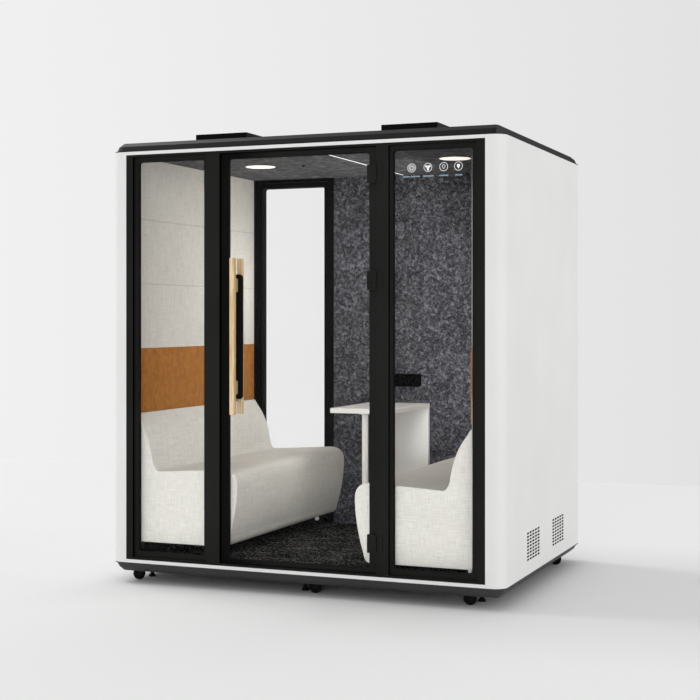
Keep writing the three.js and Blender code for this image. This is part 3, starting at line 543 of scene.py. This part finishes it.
def carried(outlines):
    """Section carried round an outline: each row is (outline in XZ, Y)."""
    return np.stack([np.stack([o[:, 0], np.full(len(o), at), o[:, 1]], 1) for o, at in outlines])


def pane_bead(name, node, body):
    """Glazing gasket: a lip with a rounded front on each face of a pane, carried round its edge."""
    low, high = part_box(node)
    outer = round_frame(low.x, high.x, low.z, high.z, 18 * MM)
    inner = round_frame(low.x + 3.8 * MM, high.x - 3.8 * MM, low.z + 3.8 * MM, high.z - 3.8 * MM, 15 * MM)
    stacks = []
    for face, way in ((low.y, -1), (high.y, 1)):
        lip = [(1, 0.05), (1, 1.6), (0.85, 3.2), (0.5, 4.0), (0.02, 4.2), (0.02, 0.05)]
        rows = carried([(inner * k + outer * (1 - k), face + way * rise * MM) for k, rise in lip])
        stacks.append(rows if way < 0 else rows[::-1])
    points, faces = together(stacks, closed_ring)
    piece(name, points, faces, GASKET, body)


pane_bead("left_glass_bead", "left_glass", "pod")
pane_bead("right_glass_bead", "right_glass", "pod")
pane_bead("door_glass_bead", "door_glass", "door")
pane_bead("rear_glass_bead", "rear_window_glass", "pod")


def strip(name, spans, sections, material, body):
    """Straight trim: a closed section carried between two ends; spans and sections hold one of each for each run."""
    stacks = [np.stack([np.asarray(end) + section for end in span]) for span, section in zip(spans, sections)]
    points, faces = together(stacks, capped)
    return piece(name, points, faces, material, body, smooth=False)


def half_round(across, out, wide, tall, count=13):
    """Half-round section: wide cos a along across, tall sin a along out."""
    a = np.linspace(0, math.pi, count)[:, None]
    return wide * np.cos(a) * np.asarray(across, float) + tall * np.sin(a) * np.asarray(out, float)


jamb_low, jamb_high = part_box("front_frame")
leaf_low, leaf_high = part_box("door_frame")
seal_y = jamb_high.y + 0.1 * MM
left_x, right_x, top_z = leaf_low.x - 2 * MM, leaf_high.x + 2 * MM, leaf_high.z + 2 * MM
side_in = [half_round((-1, 0, 0), (0, 1, 0), 7 * MM, 5 * MM), half_round((-1, 0, 0), (0, 1, 0), 7 * MM, 5 * MM)]
strip("door_seal", [[(left_x, seal_y, 0.155), (left_x, seal_y, top_z)], [(right_x, seal_y, 0.155), (right_x, seal_y, top_z)],
                    [(left_x, seal_y, top_z), (right_x, seal_y, top_z)]],
      [*side_in, half_round((0, 0, 1), (0, 1, 0), 7 * MM, 5 * MM)], GASKET, "pod")

room_low, room_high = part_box("ceiling_panel")
ceiling = room_low.z
strip("ceiling_light_line", [[(0.020, room_low.y + 0.004, ceiling - 0.2 * MM), (0.020, room_high.y - 0.004, ceiling - 0.2 * MM)]],
      [half_round((1, 0, 0), (0, 0, -1), 2.5 * MM, 2 * MM)], LINE_LIGHT, "pod")

pane_low, pane_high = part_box("right_glass")
edge = np.array([(0, 0, 0), (-4.5, 0, 0), (0, -4.5, 0)]) * MM
foot = (pane_high.x - 2.2 * MM, pane_low.y - 0.2 * MM)
strip("right_glass_arris", [[(*foot, pane_low.z + 0.012), (*foot, pane_high.z - 0.012)]], [edge], ARRIS, "pod")

band_low, band_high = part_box("right_accent_band")
lap = np.array([(0, 0, 0), (0, 4, 0), (-69, 4, 0), (-72, 2.5, 0), (-72, 0, 0)]) * MM
corner = (band_low.x - 0.3 * MM, jamb_high.y + 0.3 * MM)
strip("right_accent_return", [[(*corner, band_low.z), (*corner, band_high.z)]], [lap], SUEDE, "pod")

for side in ("left", "right"):
    low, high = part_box(f"fan_cowl_{side}")
    foot_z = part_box("roof_cap")[1].z + 0.2 * MM
    tail = np.array([(low.x, 0, foot_z), (low.x, 0, high.z), (high.x, 0, high.z), (high.x, 0, foot_z)])
    strip(f"cowl_{side}_tail", [[(0, high.y + 0.3 * MM, 0), (0, high.y + 0.1, 0)]], [tail], DEEP_BLACK, "pod")


# Turned buttons
def button(name, centre, radius, height, axis, material, body, sides=24):
    """Turned button: radius r cos(a)^0.6 at height h (0.35 + 0.65 sin a), a from 0 to a right angle, along an axis."""
    a = np.linspace(0, 0.49 * math.pi, 8)
    w = np.linspace(0, 2 * math.pi, sides, endpoint=False)[None, :, None]
    r = np.concatenate([[radius], radius * np.cos(a) ** 0.6])[:, None, None]
    h = np.concatenate([[0], height * (0.35 + 0.65 * np.sin(a))])[:, None, None]
    axis = np.asarray(axis, float)
    side = np.cross(axis, [0, 0, 1] if abs(axis[2]) < 0.9 else [1, 0, 0])
    up = np.cross(axis, side)
    rings = np.asarray(centre) + h * axis + r * (np.cos(w) * side + np.sin(w) * up)
    return piece(name, rings, capped(rings), material, body)


for label in ("upper", "middle", "lower"):
    low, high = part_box(f"hinge_{label}_door_leaf")
    face = jamb_low.y - 4 * MM
    for i, share in enumerate((0.2, 0.8)):
        height = low.z + share * (high.z - low.z)
        button(f"hinge_{label}_door_screw_{i}", (low.x + 0.014, face, height), 4.5 * MM, 1.4 * MM, (0, -1, 0), BLACK, "door", 16)
        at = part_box(f"hinge_{label}_post_leaf")[1].x - 0.012
        button(f"hinge_{label}_post_screw_{i}", (at, face, height), 4.5 * MM, 1.4 * MM, (0, -1, 0), BLACK, "pod", 16)

button("ceiling_sensor", (-0.310, 0.005, ceiling), 0.008, 0.012, (0, 0, -1), NYLON, "pod")
for name, node, x, y, radius, tall in (("bench_left_glide", "sofa_left", -0.425, 0.46, 0.013, 0.018),
                                      ("bench_right_glide", "sofa_right", 0.897, -0.717, 0.0145, 0.027)):
    button(name, (x, y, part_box(node)[0].z), radius, tall, (0, 0, -1), PALE_NYLON, "pod")


# Printed signs and outlets: flat closed rings between two outlines
def polar(x, z, radius, count=48):
    """Outline r(a) round a centre in XZ, radius a number or one value for each of count angles."""
    a = np.linspace(0, 2 * math.pi, count, endpoint=False)
    return np.stack([x + radius * np.cos(a), z + radius * np.sin(a)], 1)


def flat_ring(outer, inner, y, thick):
    """Flat ring between two outlines of equal count, thick deep behind y."""
    return carried([(inner, y), (inner, y + thick), (outer, y + thick), (outer, y)])


def touch_sign(name, x, z, glyph, bars):
    """Plain sign on the pane's outer face: a ring with a simple glyph in it, and short bars under it."""
    y = pane_low.y - 0.35 * MM
    a = np.linspace(0, 2 * math.pi, 48, endpoint=False)
    rings = [(polar(x, z, 0.0215), polar(x, z, 0.0192))]
    if glyph == "grille":
        rings += [(polar(x, z, r), polar(x, z, r - 0.0014)) for r in (0.015, 0.0105, 0.006)]
        rings += [(polar(x + 0.010 * math.cos(b), z + 0.010 * math.sin(b), 0.0022), polar(x + 0.010 * math.cos(b), z + 0.010 * math.sin(b), 0.0004)) for b in np.arange(6) * math.pi / 3]
    elif glyph == "rotor":
        rings.append((polar(x, z, 0.0040 + 0.0115 * np.abs(np.cos(1.5 * (a - math.pi / 6))) ** 1.6), polar(x, z, 0.0010)))
    else:
        bulb = 0.0082 + 0.0060 * np.exp(-(((a - 1.5 * math.pi) / 0.30) ** 2))
        core = 0.0012 if glyph == "lamp_on" else bulb - 0.0022
        rings.append((polar(x, z + 0.0025, bulb), polar(x, z + 0.0025, core)))
    points, faces = together([flat_ring(o, i, y, 0.2 * MM) for o, i in rings], closed_ring)
    piece(name, points, faces, GLOWING_PRINT, "pod", smooth=False)
    plates = []
    for start, stop in bars:
        plates.append(flat_ring(round_frame(start, stop, z - 0.0455, z - 0.0395, 0.002), round_frame(start + 0.0022, stop - 0.0022, z - 0.0430, z - 0.0420, 0.0003), y, 0.2 * MM))
    points, faces = together(plates, closed_ring)
    piece(f"{name}_bars", points, faces, GLOWING_LABEL, "pod", smooth=False)


touch_sign("sign_air", 0.608, 2.139, "grille", [(0.565, 0.599), (0.605, 0.651)])
touch_sign("sign_fan", 0.692, 2.139, "rotor", [(0.668, 0.722)])
touch_sign("sign_lamp_off", 0.773, 2.139, "lamp_off", [(0.750, 0.796)])
touch_sign("sign_lamp_on", 0.848, 2.139, "lamp_on", [(0.832, 0.868)])

socket_low, socket_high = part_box("power_socket")
middle_z = (socket_low.z + socket_high.z) / 2
collars = [flat_ring(polar(x, middle_z, 0.0235), polar(x, middle_z, 0.0206), socket_low.y - 1.2 * MM, 1.15 * MM) for x in (-0.08, 0, 0.08)]
points, faces = together(collars, closed_ring)
piece("outlet_collars", points, faces, SOCKET, "pod", smooth=False)


# Stage, lamps and camera
floor_finish, t, shader, place = finish("matt_studio_floor", "#EDEDED", Roughness=0.85, Specular_IOR_Level=0.2)
cloud = add(t, "ShaderNodeTexNoise", {"Vector": place, "Scale": per(2500), "Detail": 1.0})
feed(t, shader, Base_Color=add(t, "ShaderNodeValToRGB", {"Fac": cloud}, stops=[(0.2, "#ECECEC"), (0.8, "#EEEEEE")]))
mesh = bpy.data.meshes.new("studio_floor")
mesh.from_pydata([(-40, -40, 0), (40, -40, 0), (40, 4.79, 0), (-40, 4.79, 0)], [], [(0, 1, 2, 3)])
mesh.materials.append(floor_finish)
floor = bpy.data.objects.new("studio_floor", mesh)
bpy.context.scene.collection.objects.link(floor)

world = bpy.data.worlds.new("studio")
bpy.context.scene.world = world
world.use_nodes = True
sky = world.node_tree
sky.nodes.clear()
seen = add(sky, "ShaderNodeLightPath").outputs
some = add(sky, "ShaderNodeMath", {0: seen["Is Camera Ray"], 1: seen["Is Glossy Ray"]}, operation="MAXIMUM")
shown = add(sky, "ShaderNodeMath", {0: some, 1: seen["Is Transmission Ray"]}, operation="MAXIMUM")
way = add(sky, "ShaderNodeSeparateXYZ", {"Vector": add(sky, "ShaderNodeTexCoord").outputs["Generated"]}).outputs
# Painted light on the backdrop: as seen by the camera, in gloss and through glass, it is lighter on the left and darker
# on the right, a painted falloff of the light.
across = add(sky, "ShaderNodeMapRange", {"Value": way["X"], "From Min": -0.6, "From Max": -0.12})
wall = add(sky, "ShaderNodeMix", {"Factor": across, 6: linear("#F1F1F1"), 7: linear("#E2E2E2")}, data_type="RGBA")
back = add(sky, "ShaderNodeBackground", {"Color": wall, "Strength": 1.0})
light = add(sky, "ShaderNodeBackground", {"Color": linear("#FFFFFF"), "Strength": 0.66})
both = add(sky, "ShaderNodeMixShader", {0: shown, 1: light, 2: back})
add(sky, "ShaderNodeOutputWorld", {"Surface": both})


def lamp(name, place, target, size, watts, shape="SQUARE", spread=180, gloss=False, code="#FFFFFF"):
    """Soft lamp at place, turned to face target, its beam spread in degrees; only the surfaces that it lights show it."""
    data = bpy.data.lights.new(name, "AREA")
    data.color = linear(code)[:3]
    data.shape = shape
    data.size, data.size_y = size if shape == "RECTANGLE" else (size, size)
    data.spread = math.radians(spread)
    data.energy = watts
    made = bpy.data.objects.new(name, data)
    aim = np.array(target, float) - np.array(place, float)
    made.location = place
    made.rotation_euler = (math.atan2(math.hypot(aim[0], aim[1]), -aim[2]), 0, math.atan2(aim[1], aim[0]) - math.pi / 2)
    made.visible_camera = False
    made.visible_glossy = gloss
    made.visible_transmission = False
    bpy.context.scene.collection.objects.link(made)


lamp("key_softbox", (-19.0, 1.0, 24.0), (0, 0, 0), 14.0, 3300, gloss=True)
lamp("front_softbox", (4.0, -22.0, 4.0), (0, 0, 1.2), 7.0, 830)
lamp("right_softbox", (22.0, 3.0, 4.5), (1.0, 0, 1.2), 7.0, 850)
lamp("cabin_front_fill", (0.45, -2.2, 1.2), (0.0, -0.8, 1.2), (1.7, 1.95), 2.85, "RECTANGLE", 10)
WARM = "#FFFDF9"
lamp("cabin_side_glow", (0.55, 0.12, 1.75), (-1.0, 0.30, 1.40), 0.5, 6.7, code=WARM)
lamp("cabin_near_glow", (0.60, -0.30, 1.60), (-1.0, -0.20, 1.50), 0.5, 2.9, code=WARM)
lamp("cabin_far_glow", (-0.30, 0.30, 2.05), (-0.98, 0.62, 0.95), 0.3, 0.5, code=WARM)
lamp("cabin_rear_glow", (-0.52, 0.50, 1.60), (-0.98, 0.56, 1.40), 0.25, 1.1, code=WARM)
lamp("cabin_low_glow", (0.25, -0.35, 0.95), (-1.0, -0.10, 1.05), 0.6, 0.5, code=WARM)
lamp("cabin_felt_glow", (0.60, 0.24, 1.10), (0.62, 0.74, 1.0), 0.4, 1.3, spread=110)

camera = bpy.data.cameras.new("camera")
camera.lens = 73.73
camera.shift_y = -0.04577
eye = bpy.data.objects.new("camera", camera)
eye.location = (2.9617, -7.38165, 1.4046)
eye.rotation_euler = (math.pi / 2, 0, math.radians(22.037))
bpy.context.scene.collection.objects.link(eye)
bpy.context.scene.camera = eye
bpy.context.scene.view_settings.view_transform = "Standard"
